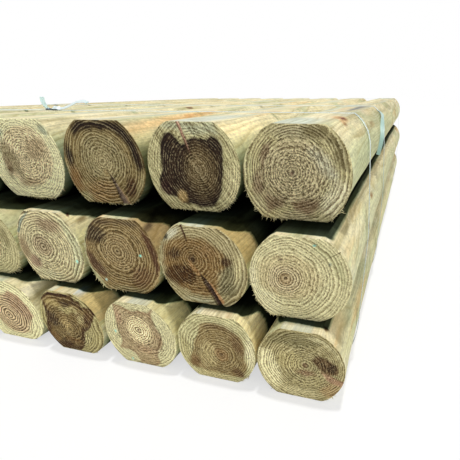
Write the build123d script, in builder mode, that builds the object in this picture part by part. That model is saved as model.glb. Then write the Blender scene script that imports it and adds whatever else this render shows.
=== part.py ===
import math
import os

from build123d import *

# Strapped pack of round-sided sleepers: softwood logs with an upper and a lower sawn face,
# laid in three rows and held by three plastic straps.
# Frame: origin on the floor under the middle of the pack, +Y into the pack from the sawn ends
# that stand forward, +X to the right of someone who looks at those ends, +Z up. Millimetres.

# Sleepers
sleeper_length = 2400
sleeper_thickness = 160
top_wane = 50
bottom_wane = 44
belly_drop = 3
taper = 6

# Rows from the floor up, columns from the pack's right side
row_names = ("bottom", "middle", "top")
row_widths = {
    "bottom": (178, 172, 179, 166, 182, 188, 190, 186),
    "middle": (192, 181, 182, 167, 181, 188, 192, 190),
    "top": (204, 196, 200, 202, 174, 178, 172, 176),
}
row_gaps = {
    "bottom": (4, 3, 8, 8, 6, 8, 6),
    "middle": (4, 4, 7, 7, 6, 7, 5),
    "top": (7, 7, 5, 6, 5, 6, 5),
}
end_steps = {
    "bottom": (2, 5, 2, 0, 4, 1, 5, 3),
    "middle": (1, 2, 3, 2, 0, 4, 1, 3),
    "top": (0, 6, 5, 4, 2, 6, 1, 3),
}
row_setback = {"bottom": 0, "middle": 42, "top": 132}
row_outset = {"bottom": 10, "middle": 2, "top": -24}

# Drying checks in the sawn ends: row, column, heart's place beside the axis and over the
# lower face, direction of the opening seen from the front, reach, width at its mouth, depth
end_checks = (
    ("top", 2, 12, 65, -63, 76, 6, 90),
    ("top", 1, -5, 109, 105, 56, 3, 60),
    ("middle", 1, -6, 71, -56, 72, 8, 120),
    ("middle", 0, -22, 85, 32, 92, 2, 50),
    ("bottom", 0, 14, 85, -21, 66, 4, 70),
)
check_tip_width = 0.4

# Straps
strap_width = 12
strap_thickness = 0.8
strap_clearance = 0.3
strap_lean = 36
strap_stations = {"front": 330, "mid": 800, "back": 2090}

# Wire buckle on the front strap, and the two loose ends that are threaded through it
buckle_place = -970
buckle_length = 44
buckle_wire = 4
buckle_corner = 2.5
buckle_play = 0.2
buckle_side_play = 0.6
right_tail_reach = 108
right_tail_rise = 17
left_tail_reach = 12
left_tail_rise = 30

row_count = len(row_names)
stack_bottom = strap_thickness + strap_clearance
stack_top = stack_bottom + row_count * sleeper_thickness
belly_height = sleeper_thickness / 2 - belly_drop
lean_slope = math.tan(math.radians(strap_lean))
strap_height = stack_top + strap_clearance + strap_thickness

# The buckle's end bars lie on the strap, and its ends fold back over them
fold_radius = buckle_wire / 2 + buckle_play + strap_thickness / 2
bar_offset = (buckle_length - buckle_wire) / 2
bar_height = strap_height - strap_thickness / 2 + fold_radius


def row_left(row):
    """Left end of a row, measured from the row's reference at the right."""
    return row_outset[row] - sum(row_widths[row]) - sum(row_gaps[row])


# The pack's middle and front in the reference that the outsets and setbacks use
pack_right = max(row_outset.values())
pack_left = min(row_left(row) for row in row_names)
centre_shift = -(pack_right + pack_left) / 2
pack_depth = max(row_setback[row] + max(end_steps[row]) for row in row_names) + sleeper_length
front_y = -pack_depth / 2
buckle_x = centre_shift + buckle_place


def sleeper_axis(row, column):
    """Sideways place of a sleeper's axis."""
    passed = sum(row_widths[row][:column]) + sum(row_gaps[row][:column])
    return centre_shift + row_outset[row] - passed - row_widths[row][column] / 2


def sleeper_front(row, column):
    """Place of a sleeper's front end along the pack."""
    return front_y + row_setback[row] + end_steps[row][column]


def sleeper_base(row):
    """Height of a row's lower sawn faces."""
    return stack_bottom + row_names.index(row) * sleeper_thickness


def width_at(row, column, y):
    """Width of a sleeper at a place along the pack: butts and tips alternate."""
    share = (y - sleeper_front(row, column)) / sleeper_length - 0.5
    direction = 1 if column % 2 == 0 else -1
    return row_widths[row][column] + direction * taper * share


def section(axis, base, width):
    """A sleeper's section: sawn face, round side, sawn face, round side."""
    half_top = width / 2 - top_wane
    half_bottom = width / 2 - bottom_wane
    top = base + sleeper_thickness
    belly = base + belly_height
    with BuildSketch() as profile:
        with BuildLine():
            upper = Line((axis - half_top, top), (axis + half_top, top))
            right_side = ThreePointArc(
                upper @ 1, (axis + width / 2, belly), (axis + half_bottom, base)
            )
            lower = Line(right_side @ 1, (axis - half_bottom, base))
            ThreePointArc(lower @ 1, (axis - width / 2, belly), upper @ 0)
        make_face()
    return profile.sketch


def cross_plane(y):
    """Upright plane across the pack, seen from the front: x to the right, y up."""
    return Plane.XZ.offset(-y)


def strap_y(top_y, height):
    """Front edge of a leaning strap at a height, from its place on top of the pack."""
    return top_y - (strap_height - height) * lean_slope


def fold_over_bar(side):
    """Fold of a strap's end about an end bar of the buckle, from under it to over it."""
    bar_x = buckle_x + side * bar_offset
    return ThreePointArc(
        (bar_x, bar_height - fold_radius),
        (bar_x - side * fold_radius, bar_height),
        (bar_x, bar_height + fold_radius),
    )


def check_section(heart, direction, reach, mouth):
    """Thin triangle from the heart out to the mouth of a drying check."""
    along = Vector(1, 0).rotate(Axis.Z, direction)
    across = along.rotate(Axis.Z, 90) * (mouth / 2)
    end = heart + along * reach
    with BuildSketch() as profile:
        with BuildLine():
            Polyline(heart, end + across, end - across, close=True)
        make_face()
    return profile.sketch


os.makedirs("parts", exist_ok=True)

# Sleepers
for row in row_names:
    base = sleeper_base(row)
    for column in range(len(row_widths[row])):
        axis = sleeper_axis(row, column)
        front = sleeper_front(row, column)
        back = front + sleeper_length
        with BuildPart() as sleeper:
            with BuildSketch(cross_plane(front)):
                add(section(axis, base, width_at(row, column, front)))
            with BuildSketch(cross_plane(back)):
                add(section(axis, base, width_at(row, column, back)))
            loft(ruled=True)
            for check in end_checks:
                if check[0] == row and check[1] == column:
                    side, height, direction, reach, mouth, depth = check[2:]
                    heart = Vector(axis + side, base + height)
                    with BuildSketch(cross_plane(front)):
                        add(check_section(heart, direction, reach, mouth))
                    with BuildSketch(cross_plane(front + depth)):
                        add(check_section(heart, direction, reach, check_tip_width))
                    loft(ruled=True, mode=Mode.SUBTRACT)
        sleeper.part.label = f"sleeper_{row}_{column + 1}"
        export_step(sleeper.part, f"parts/{sleeper.part.label}.step")

# Straps: each follows the pack's hull and leans back towards the top
for name, station in strap_stations.items():
    top_y = front_y + row_setback["top"] + station
    with BuildSketch(cross_plane(top_y)) as pack_hull:
        for row in row_names:
            row_middle = sleeper_base(row) + belly_height
            row_y = strap_y(top_y, row_middle)
            for column in (0, len(row_widths[row]) - 1):
                width = width_at(row, column, row_y)
                add(section(sleeper_axis(row, column), sleeper_base(row), width))
        make_hull()
    with BuildPart() as strap:
        with BuildSketch(cross_plane(top_y + strap_width)):
            offset(pack_hull.sketch, amount=strap_clearance + strap_thickness)
            offset(pack_hull.sketch, amount=strap_clearance, mode=Mode.SUBTRACT)
        extrude(amount=strap_width + strap_height * lean_slope)
        with BuildSketch(Plane.YZ):
            with BuildLine():
                Polyline(
                    (strap_y(top_y, 0), 0),
                    (strap_y(top_y, 0) + strap_width, 0),
                    (strap_y(top_y, strap_height) + strap_width, strap_height),
                    (strap_y(top_y, strap_height), strap_height),
                    close=True,
                )
            make_face()
        extrude(amount=-pack_left, both=True, mode=Mode.INTERSECT)
        if name == "front":
            with BuildSketch(cross_plane(top_y)):
                with BuildLine() as tails:
                    right_fold = fold_over_bar(1)
                    Spline(
                        right_fold @ 1,
                        right_fold @ 1 + Vector(right_tail_reach, right_tail_rise),
                        tangents=((1, 0), (1, 0)),
                    )
                    left_fold = fold_over_bar(-1)
                    Spline(
                        left_fold @ 1,
                        left_fold @ 1 + Vector(-left_tail_reach, left_tail_rise),
                        tangents=((-1, 0), (0, 1)),
                    )
                trace(tails.line, line_width=strap_thickness)
            extrude(amount=-strap_width)
    strap.part.label = f"strap_{name}"
    export_step(strap.part, f"parts/{strap.part.label}.step")

# Wire buckle: one bent wire, closed into a frame
buckle_y = front_y + row_setback["top"] + strap_stations["front"] + strap_width / 2
half_buckle_width = strap_width / 2 + buckle_side_play + buckle_wire / 2
with BuildPart() as buckle:
    with BuildLine(Plane((buckle_x, buckle_y, bar_height))) as wire_path:
        FilletPolyline(
            (bar_offset, -half_buckle_width),
            (bar_offset, half_buckle_width),
            (-bar_offset, half_buckle_width),
            (-bar_offset, -half_buckle_width),
            radius=buckle_corner,
            close=True,
        )
    with BuildSketch(Plane(wire_path.line @ 0, z_dir=wire_path.line % 0)):
        Circle(buckle_wire / 2)
    sweep()
buckle.part.label = "wire_buckle"
export_step(buckle.part, "parts/wire_buckle.step")
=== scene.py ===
import math

import bmesh
import bpy
import numpy as np
from mathutils import Matrix, Vector


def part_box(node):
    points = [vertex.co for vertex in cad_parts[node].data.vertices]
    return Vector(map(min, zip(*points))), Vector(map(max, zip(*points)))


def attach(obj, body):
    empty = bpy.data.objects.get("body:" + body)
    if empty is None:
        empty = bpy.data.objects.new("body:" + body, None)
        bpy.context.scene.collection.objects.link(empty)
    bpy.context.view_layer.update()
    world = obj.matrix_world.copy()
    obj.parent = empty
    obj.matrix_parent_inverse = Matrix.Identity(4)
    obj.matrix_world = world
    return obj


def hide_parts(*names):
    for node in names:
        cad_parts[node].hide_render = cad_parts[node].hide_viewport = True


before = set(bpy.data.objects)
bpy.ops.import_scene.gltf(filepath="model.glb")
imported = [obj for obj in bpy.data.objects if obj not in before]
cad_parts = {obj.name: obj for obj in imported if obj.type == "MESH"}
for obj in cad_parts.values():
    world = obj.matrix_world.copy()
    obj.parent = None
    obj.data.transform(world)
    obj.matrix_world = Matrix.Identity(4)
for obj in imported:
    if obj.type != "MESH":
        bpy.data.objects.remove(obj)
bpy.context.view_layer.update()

ROWS = ("bottom", "middle", "top")
COLUMNS = 8

# Sleeper section, as the frame's solids have it, in metres
TOP_WANE, BOTTOM_WANE = 0.050, 0.044
BELLY_DROP = 0.003
TAPER = 0.006

# Light on the sawn ends, the round sides and the sawn faces, which turns seen colours to paint
END_LIGHT, ROUND_LIGHT, FLAT_LIGHT = 0.72, 0.74, 1.0
WASH_LIGHT, SHADED_MARK_LIGHT = 0.95, 0.8


# Repeatable noise and colour
def lattice(column, row, seed):
    """Random value, 0 to 1, that belongs to a point of a square lattice."""
    n = column.astype(np.int64) * 374761393 + row.astype(np.int64) * 668265263 + seed * 974634777
    n = (n ^ (n >> 13)) & 0x7FFFFFFF
    n = (n * 1274126177) & 0x7FFFFFFF
    return ((n ^ (n >> 16)) & 0xFFFF) / 65535


def noise(x, y, seed, octaves=3):
    """Smooth noise over a plane, -1 to 1, with one bump a unit."""
    x, y = np.broadcast_arrays(np.asarray(x, float), np.asarray(y, float))
    total, size = np.zeros(x.shape), 0.0
    for octave in range(octaves):
        zoom = 2.03 ** octave
        across, up = x * zoom + octave * 7.1, y * zoom + octave * 3.7
        left, low = np.floor(across), np.floor(up)
        u, v = across - left, up - low
        u, v = u * u * (3 - 2 * u), v * v * (3 - 2 * v)
        key = seed * 13 + octave
        lower = lattice(left, low, key) * (1 - u) + lattice(left + 1, low, key) * u
        upper = lattice(left, low + 1, key) * (1 - u) + lattice(left + 1, low + 1, key) * u
        total += (2 * (lower * (1 - v) + upper * v) - 1) * 0.5 ** octave
        size += 0.5 ** octave
    return total / size


def smooth(value, low, high):
    """Smooth step from 0 at low to 1 at high."""
    t = np.clip((value - low) / (high - low), 0, 1)
    return t * t * (3 - 2 * t)


def paint(colour, light=END_LIGHT):
    """Linear colour that shows as an sRGB colour in a light of the given level. The colour is
    in hexadecimal form or three numbers, 0 to 255."""
    if isinstance(colour, str):
        colour = list(bytes.fromhex(colour))
    c = np.asarray(colour, float) / 255
    return np.where(c <= 0.04045, c / 12.92, ((c + 0.055) / 1.055) ** 2.4) / light


# Looks of the sawn ends: places are in millimetres across from the sleeper's axis and up from
# its lower face, colours are sRGB as seen
def area(colour, soft, *places, rings=None, edge=None, band=7):
    """A stained area with a given outline, and a band of another colour in its edge."""
    points = np.array(places, float).reshape(-1, 2)
    return dict(colour=colour, soft=soft, points=points, rings=rings, edge=edge, band=band)


def spot(colour, soft, *oval, rings=None):
    """A stained oval: its middle, half sizes and turn in degrees."""
    return dict(colour=colour, soft=soft, oval=oval, rings=rings, edge=None)


def crack(start, end, mouth, depth, walls, begin=0.0, opening=1.0):
    """A drying check from near the heart outwards: colours of its walls and floor, and the
    share of its length over which it opens."""
    return dict(start=start, end=end, mouth=mouth, depth=depth, walls=walls, begin=begin,
                opening=opening)


ENDS = {}


def sawn_end(name, *stains, cracks=(), **sizes):
    """Gather the look of one sawn end, with its stains in the order of painting."""
    ENDS[name] = dict(stains=stains, cracks=cracks, **sizes)


sawn_end(
    "top_1",
    spot("a89c76", 10, -3, 85, 62, 56),
    area("7c6a4e", 5, -62, 128, -42, 134, -44, 122, -55, 106, -60, 80, -66, 84, -68, 108),
    spot("827154", 8, -72, 62, 14, 24),
    area("7a684c", 8, -52, 52, -18, 36, -24, 22, -48, 13, -66, 0, -52, 0, -58, 22, -66, 40),
    area("806c4f", 7, -8, 36, 20, 40, 48, 46, 44, 25, 28, 6, 8, 8, -4, 22),
    area("aca88c", 14, 18, 122, 34, 128, 62, 106, 80, 84, 74, 66, 56, 76, 38, 98, rings=0.5),
    spot("968e6c", 10, -4, 148, 46, 12),
    area("746b49", 6, 8, 159, 50, 160, 86, 122, 97, 88, 76, 92, 62, 128, 36, 136, 12, 140),
    spot("beb794", 12, 72, 44, 22, 34, -30),
    spot("a69c76", 8, 0, 6, 32, 10),
    spot("a8a07a", 8, -70, 26, 13, 18, 40),
    spot("a8a378", 8, -88, 92, 9, 40),
    spot("866a52", 3, -6, 84, 4, 4, rings=0.3),
    area("a89e74", 2, 28, 116, 31, 116, 64, 150, 60, 152, rings=0.2),
    top=(-45, 49), bottom=(-61, 62), pith=(-5, 85), spacing=5.4, rings=0.8, specks=1, saw=0.25,
    saw_turn=55, base="a69d72", fringe=1.3, torn=(195, 330),
)
sawn_end(
    "top_2",
    area("a0a080", 8, -60, 150, -40, 161, 52, 161, 66, 140, 20, 138, -30, 146),
    spot("c0b88c", 10, 84, 50, 20, 40),
    area("3a2b1f", 3, -61, 128, -50, 142, -38, 143, -26, 134, -18, 122, -6, 128, 8, 134, 38, 132,
        48, 139, 61, 134, 68, 115, 66, 88, 63, 62, 60, 46, 52, 28, 36, 10, 8, 5, -12, 12, -30, 12,
        -42, 24, -62, 24, -80, 40, -79, 56, -68, 76, -67, 100, rings=0.8, edge="2e221a", band=9),
    spot("625237", 16, 20, 76, 38, 50, rings=0.9),
    spot("80704e", 10, 14, 80, 20, 26),
    spot("2e2119", 8, -52, 110, 10, 26),
    spot("2e2119", 8, 52, 122, 14, 12),
    spot("3c2621", 7, -64, 42, 14, 14),
    spot("a48c5c", 5, -30, 26, 12, 14, rings=0.25),
    cracks=(
        crack((2, 100), (-19, 160), 7, 2, ("8c6c58", "b08e76", "785a48"), opening=0.6),
    ),
    top=(-43, 51), bottom=(-61, 46), pith=(12, 80), spacing=4.9, rings=0.5, specks=0.6, saw=0.9,
    saw_turn=38, base="aaa378", torn=(230, 330),
)
sawn_end(
    "top_3",
    spot("827650", 12, 2, 92, 56, 48),
    spot("9a8d64", 12, 0, 82, 28, 26),
    area("2c1f15", 9, -58, 150, -40, 161, 58, 161, 82, 134, 98, 100, 98, 72, 84, 66, 72, 92,
        64, 122, 42, 138, 0, 142, -36, 138, -56, 126),
    spot("322518", 8, -82, 92, 11, 30),
    area("a0a07c", 3, -98, 108, -84, 128, -62, 150, -44, 160, -56, 158, -80, 142, -98, 124),
    spot("9a946c", 4, -95, 50, 7, 30),
    spot("7c603a", 10, -80, 48, 17, 28, rings=0.8),
    spot("8a7046", 12, -20, 24, 50, 24, 8, rings=1.3),
    spot("9c9266", 7, -66, 10, 18, 12),
    spot("584028", 7, 56, 36, 15, 24, -30),
    spot("8c7f56", 5, 82, 44, 9, 30, -24),
    spot("968458", 5, 4, 62, 8, 8, rings=0.2),
    cracks=(
        crack((8, 66), (36, -1), 21, 3.5, ("54463e", "766456", "ba9c70"), opening=0.8),
    ),
    top=(-43, 56), bottom=(-68, 45), pith=(0, 86), spacing=6, rings=0.85, specks=0.7, saw=0.2,
    saw_turn=60, base="807048", torn=(200, 320),
)
sawn_end(
    "top_4",
    area("c6b890", 6, -22, 138, 8, 148, 44, 147, 68, 132, 80, 104, 76, 74, 62, 50, 34, 33, 2, 22,
        -26, 26, -50, 44, -64, 76, -58, 102, -42, 122, rings=0.75),
    spot("8c7f5c", 10, -40, 82, 22, 40, 20, rings=0.6),
    spot("7c6a4c", 7, -54, 64, 12, 22),
    spot("a4926e", 8, 40, 104, 30, 22, 30),
    spot("9e8c68", 8, -6, 34, 34, 9, 10),
    spot("a8ac8c", 6, -50, 134, 16, 12, 40),
    spot("969a7e", 5, 76, 140, 14, 9, -45),
    top=(-38, 69), bottom=(-65, 47), pith=(6, 86), spacing=5, rings=0.5, specks=0.85, saw=0.5,
    saw_turn=84, base="ccc89e", torn=(210, 330),
)
sawn_end(
    "middle_1",
    spot("b2a67c", 10, -20, 84, 62, 46),
    spot("b2a47e", 8, -26, 80, 34, 30, rings=1.3),
    spot("9a8660", 5, -26, 78, 15, 13),
    spot("c4be96", 10, -62, 30, 34, 22, -30),
    spot("c6c09a", 7, -86, 70, 8, 34),
    area("aca87e", 8, 30, 158, 72, 130, 92, 82, 76, 80, 54, 118, 24, 140),
    spot("6e7462", 2, 55, 118, 3, 3),
    spot("60a096", 1.5, 26, 148, 2.5, 2.5),
    spot("685642", 2, -34, 118, 4, 2.5),
    cracks=(
        crack((-25, 82), (-93, 62), 1.4, 5, ("604e3a", "3c2e24", "604e3a"), begin=26),
        crack((-25, 82), (62, 136), 1.2, 4, ("685842", "46382c", "685842"), begin=42),
    ),
    top=(-46, 40), bottom=(-55, 40), pith=(-25, 82), spacing=5.3, rings=0.56, specks=0.4, saw=0.35,
    saw_turn=60, base="bab389", fringe=1.1, torn=(170, 290),
)
sawn_end(
    "middle_2",
    area("70694a", 8, 40, 92, 66, 96, 86, 78, 78, 44, 52, 20, 30, 24, 30, 48),
    spot("b0a67a", 6, 74, 86, 9, 36, -10),
    area("775e37", 9, -78, 118, -58, 134, -22, 143, 10, 139, 34, 126, 50, 111, 60, 98, 54, 88,
        40, 76, 32, 58, 28, 40, 18, 22, -6, 16, -32, 20, -60, 34, -80, 54, -86, 80, -84, 100,
        rings=0.85),
    spot("4a3014", 9, -50, 60, 38, 24, 10),
    spot("543e24", 8, -56, 104, 22, 12, 20),
    spot("543e26", 6, -18, 96, 9, 8),
    spot("4c3824", 5, 52, 98, 11, 9),
    spot("7c623c", 8, 12, 112, 20, 14),
    area("947246", 4, -32, 92, -22, 92, -8, 72, -4, 60, -14, 62, -26, 78, rings=0.4),
    spot("b6b296", 4, -56, 142, 22, 7, 34, rings=0.3),
    spot("403c2c", 3, -70, 134, 8, 5, 40, rings=0.2),
    spot("a09c7c", 5, -10, 8, 44, 5),
    area("a07a50", 2, 8, 56, 14, 50, 30, 28, 40, 8, 34, 4, 24, 18, 12, 38, rings=0.2),
    cracks=(
        crack((-8, 70), (28, 3), 13, 7, ("4a3a32", "3a2c26", "96704a"), opening=0.35),
        crack((-8, 70), (-34, 160), 6, 5, ("543e30", "402e26", "584030"), begin=58, opening=0.5),
    ),
    top=(-46, 40), bottom=(-54, 43), pith=(-18, 95), spacing=5.6, rings=0.85, specks=0.55, saw=0.25,
    saw_turn=40, base="948962", torn=(150, 210),
)
sawn_end(
    "middle_3",
    spot("8a764e", 12, -4, 90, 44, 40, rings=1),
    spot("4a3b27", 9, -54, 126, 32, 22),
    area("50402c", 10, -64, 150, -34, 160, 60, 160, 58, 146, 10, 150, -40, 142),
    area("58422e", 5, -84, 92, -70, 84, -60, 62, -44, 38, -52, 24, -74, 36, -86, 62, rings=0.5),
    area("563c28", 6, 60, 150, 78, 128, 90, 92, 90, 62, 76, 40, 74, 84, 62, 120, rings=0.4),
    spot("6e5436", 10, 40, 40, 34, 24, 40, rings=1),
    spot("867a54", 6, -6, 5, 50, 7),
    area("a6a47c", 3, -66, 150, -90, 112, -96, 74, -88, 36, -66, 6, -56, 2, -66, 20, -80, 44,
        -86, 76, -78, 112, -60, 140, rings=0.25),
    spot("96e2ce", 1.2, 48, 89, 3.4, 3, rings=0),
    spot("bee2d6", 1.2, -54, 23, 3.2, 3, rings=0),
    top=(-30, 54), bottom=(-62, 40), pith=(-5, 92), spacing=6.2, rings=1, specks=0.7, saw=0.1,
    saw_turn=20, base="806c44", fringe=1.5, torn=(150, 275),
)
sawn_end(
    "middle_4",
    area("b2b08a", 8, 40, 158, 60, 150, 86, 110, 88, 72, 60, 30, 40, 10, 48, 50, 62, 90, 54, 130),
    spot("b2ac86", 8, -30, 14, 40, 12),
    spot("8c7a5c", 9, 18, 132, 34, 16),
    spot("887656", 8, -72, 74, 14, 30),
    spot("947c62", 8, -56, 44, 18, 16),
    spot("9e8e6c", 8, -18, 84, 28, 26, rings=1),
    # painted shadow: a thin blue-grey band along the upper left rim
    area("768070", 3, -76, 112, -56, 138, -30, 158, -24, 158, -50, 134, -70, 108),
    spot("96d8c8", 1.5, 64, 57, 3, 4, rings=0),
    top=(-32, 50), bottom=(-60, 34), pith=(-17, 82), spacing=6, rings=0.95, specks=0.7, saw=0.2,
    saw_turn=70, base="b6ac84", fringe=1.1, torn=(180, 250),
)
sawn_end(
    "middle_5",
    spot("8c7a54", 12, -6, 84, 52, 46),
    spot("847c56", 6, 62, 92, 12, 26),
    top=(-44, 44), bottom=(-50, 26), pith=(-8, 82), spacing=5.6, rings=0.45, specks=0.7, saw=0.3,
    saw_turn=60, base="aca57a", fringe=1.4, torn=(200, 330),
)
sawn_end(
    "bottom_1",
    area("cec698", 10, -86, 110, -60, 108, -40, 70, -36, 30, -48, 4, -72, 26, -88, 70),
    area("7a724c", 8, -70, 122, -36, 124, 0, 120, 30, 132, 50, 146, 20, 158, -38, 158, -62, 140),
    spot("a69a6a", 8, -20, 88, 28, 24),
    area("5e492e", 5, 22, 100, 34, 116, 56, 108, 74, 98, 74, 74, 54, 68, 34, 82),
    spot("463420", 6, 64, 88, 11, 12),
    area("987a5c", 4, 40, 76, 58, 73, 76, 64, 90, 62, 86, 46, 66, 48, 52, 60, rings=0.3),
    spot("988258", 9, 62, 32, 22, 20, 30),
    spot("887050", 6, 12, 66, 20, 8),
    spot("b4aa7e", 7, -4, 14, 50, 14),
    area("b0a87e", 4, 4, 150, 36, 143, 64, 122, 80, 98, 84, 102, 66, 130, 38, 152, rings=0.3),
    spot("7a6044", 4, 11, 85, 6, 7),
    cracks=(
        crack((30, 79), (89, 59), 3, 14, ("6e543e", "3a2a20", "96785a")),
    ),
    top=(-38, 36), bottom=(-47, 47), pith=(12, 85), spacing=4.8, rings=0.9, specks=0.7, saw=0.35,
    saw_turn=-52, base="968b60", torn=(230, 330),
)
sawn_end(
    "bottom_2",
    area("847249", 4, -30, 130, -22, 141, 4, 146, 24, 142, 44, 130, 62, 118, 64, 96, 62, 74, 69, 52,
        66, 32, 48, 16, 20, 14, -16, 12, -40, 20, -60, 22, -74, 36, -60, 52, -52, 72, -46, 94,
        -36, 110),
    spot("9e8f62", 9, -18, 62, 24, 36, rings=0.6),
    spot("8a6f46", 7, 12, 68, 15, 16, rings=0.7),
    spot("6c5636", 7, 50, 100, 13, 30, 20),
    spot("665234", 8, 8, 136, 30, 8),
    spot("6e5636", 6, -52, 40, 13, 17, rings=0.3),
    spot("644d30", 6, 47, 28, 17, 11, -30),
    spot("b6aa7a", 7, -10, 9, 46, 10),
    spot("cec79e", 6, 76, 84, 10, 40),
    spot("a49c6e", 6, -70, 66, 12, 36),
    top=(-33, 49), bottom=(-49, 43), pith=(12, 68), spacing=5, rings=0.75, specks=0.55, saw=0.35,
    saw_turn=35, base="aea87c", torn=(230, 320),
)
sawn_end(
    "bottom_3",
    area("a28f6a", 4, -48, 156, -30, 152, -8, 142, 14, 146, 34, 143, 54, 160, 42, 138, 46, 112,
        56, 92, 56, 66, 42, 48, 34, 30, 40, 16, 26, 2, -16, 2, -18, 22, -36, 34, -62, 36, -50, 58,
        -54, 88, -50, 122, edge="8a7252", band=5),
    spot("e2d3a3", 12, 2, 94, 30, 34, rings=1.8),
    spot("8e7856", 5, 47, 74, 7, 26),
    spot("a08666", 5, -42, 122, 8, 20),
    spot("a08866", 6, 8, 44, 30, 10),
    spot("866c52", 2.5, 2, 94, 3.5, 4),
    spot("a8decc", 1.5, -62, 81, 3.5, 3, rings=0),
    spot("a8d2ba", 1.5, -35, 10, 3, 5, rings=0),
    top=(-35, 37), bottom=(-54, 39), pith=(1, 96), spacing=5.2, rings=0.55, specks=0.75, saw=0.3,
    saw_turn=58, base="c0ba8f", torn=(240, 300),
)
sawn_end(
    "bottom_4",
    area("705c35", 2.5, -62, 138, -34, 158, 32, 158, 33, 142, 46, 144, 48, 130, 76, 130, 86, 122,
        70, 104, 55, 84, 46, 68, 30, 60, 26, 40, 16, 20, 2, 3, -52, 1, -74, 16, -84, 40, -74, 70,
        -64, 98, -62, 122, rings=0.9, edge="4a321a", band=9),
    spot("48341c", 8, -50, 84, 17, 22, rings=0.9),
    spot("46321c", 7, 6, 134, 34, 7, 6),
    spot("4e361e", 7, -36, 16, 26, 12),
    spot("543a20", 6, 50, 102, 9, 26, -40),
    spot("a6905c", 8, -14, 70, 12, 26, rings=0.8),
    spot("968452", 6, -32, 128, 24, 9, -8, rings=0.4),
    spot("a09462", 6, 6, 116, 28, 9, 8, rings=0.4),
    spot("a09262", 6, 34, 96, 8, 18, -30),
    spot("70542e", 6, -62, 34, 14, 13),
    spot("6c502a", 7, -10, 30, 26, 10),
    spot("989060", 6, -80, 100, 10, 30, -20),
    top=(-33, 35), bottom=(-55, 34), pith=(-10, 62), spacing=6, rings=0.8, specks=0.8, saw=0.2,
    saw_turn=30, base="988e5f", torn=(240, 300),
)
sawn_end(
    "bottom_5",
    spot("b09b75", 9, 0, 72, 62, 54, 40, rings=1.7),
    area("9c8262", 5, -6, 120, 18, 140, 44, 128, 60, 104, 68, 78, 46, 58, 30, 66, 10, 84, 2, 102),
    spot("a8926e", 7, 0, 26, 40, 8),
    top=(-40, 30), bottom=(-66, 24), pith=(-14, 66), spacing=6.6, rings=0.6, specks=0.4, saw=0.3,
    saw_turn=60, base="d0cb9d", torn=(240, 300),
)


def invented_end(seed):
    """Look of a sawn end that the photograph doesn't show, in the manner of the others."""
    pick = np.random.default_rng(seed)
    sap = np.array([180, 173, 132]) + pick.normal(0, 9)
    heart = np.array([142, 122, 84]) + pick.normal(0, 18) * np.array([1, 1, 0.8])
    x, z = pick.uniform(-16, 16), pick.uniform(68, 94)
    turns = np.linspace(0, 2 * math.pi, 11)[:-1]
    reach = pick.uniform(42, 66) * pick.uniform(0.8, 1.15, 10)
    edge = np.column_stack([x + reach * np.cos(turns), z + 0.85 * reach * np.sin(turns)])
    stains = [area(heart, pick.uniform(3, 8), *edge.ravel())]
    for _ in range(4):
        a, r = pick.uniform(0, 2 * math.pi), pick.uniform(20, 60)
        shade = heart * pick.uniform(0.62, 0.9)
        stains.append(spot(shade, 8, x + r * math.cos(a), z + r * math.sin(a) * 0.8,
                           pick.uniform(8, 24), pick.uniform(6, 18), pick.uniform(0, 180)))
    cracks = ()
    if pick.random() < 0.45:
        a = pick.uniform(0, 2 * math.pi)
        wall = heart * 0.62
        end = (x + 100 * math.cos(a), z + 100 * math.sin(a))
        cracks = (crack((x, z), end, pick.uniform(1.5, 4), 12, (wall, wall * 0.6, wall),
                        begin=pick.uniform(0, 20)),)
    return dict(top=(-48, 48), bottom=(-54, 54), pith=(x, z), spacing=pick.uniform(4.8, 6.6),
                rings=pick.uniform(0.45, 0.8), specks=pick.uniform(0.2, 0.8),
                saw=pick.uniform(0.2, 0.8), saw_turn=pick.uniform(0, 180), base=sap,
                torn=(200, 320), stains=stains, cracks=cracks)


# Sleeper shapes
class Sleeper:
    """Sizes of one sleeper, read from its node in the frame."""

    def __init__(self, row, column):
        self.row, self.column = row, column
        self.name = f"sleeper_{row}_{column}"
        low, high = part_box(self.name)
        self.axis = (low[0] + high[0]) / 2
        self.width = high[0] - low[0] - TAPER / 2
        self.front, self.back = low[1], high[1]
        self.base, self.top = low[2], high[2]
        self.lean = 1 if column % 2 else -1
        self.seed = 10 * COLUMNS * ROWS.index(row) + 10 * column
        self.look = ENDS.get(f"{row}_{column}") or invented_end(self.seed + 5)

    def half_width(self, y):
        share = (y - self.front) / (self.back - self.front) - 0.5
        return (self.width + self.lean * TAPER * share) / 2

    def lay(self, way, y):
        """What the long grain follows: way round, place along, and a number of the log's own."""
        along = np.broadcast_to(y - self.front, way.shape)
        return np.stack([way, along, np.full(way.shape, self.seed * 0.61)], axis=-1)


def arc(start, middle, end, shares):
    """Points at the given shares of the way along the circle's arc through three points."""
    chords = 2 * np.array([middle - start, end - start])
    centre = np.linalg.solve(chords, [middle @ middle - start @ start, end @ end - start @ start])
    first = math.atan2(*(start - centre)[::-1])
    turn = (math.atan2(*(end - centre)[::-1]) - first) % (2 * math.pi) - 2 * math.pi
    angles = first + turn * shares
    radius = np.linalg.norm(start - centre)
    return centre + radius * np.stack([np.cos(angles), np.sin(angles)], axis=1)


# Way round a section: upper sawn face, right side, lower sawn face, left side
AROUND = (0.0, 0.10, 0.30, 0.41, 0.61)
END_REACH = 0.09  # how far along the log its front end's own outline fades out
WANDER = 0.002
DENT = 0.0012


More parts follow.
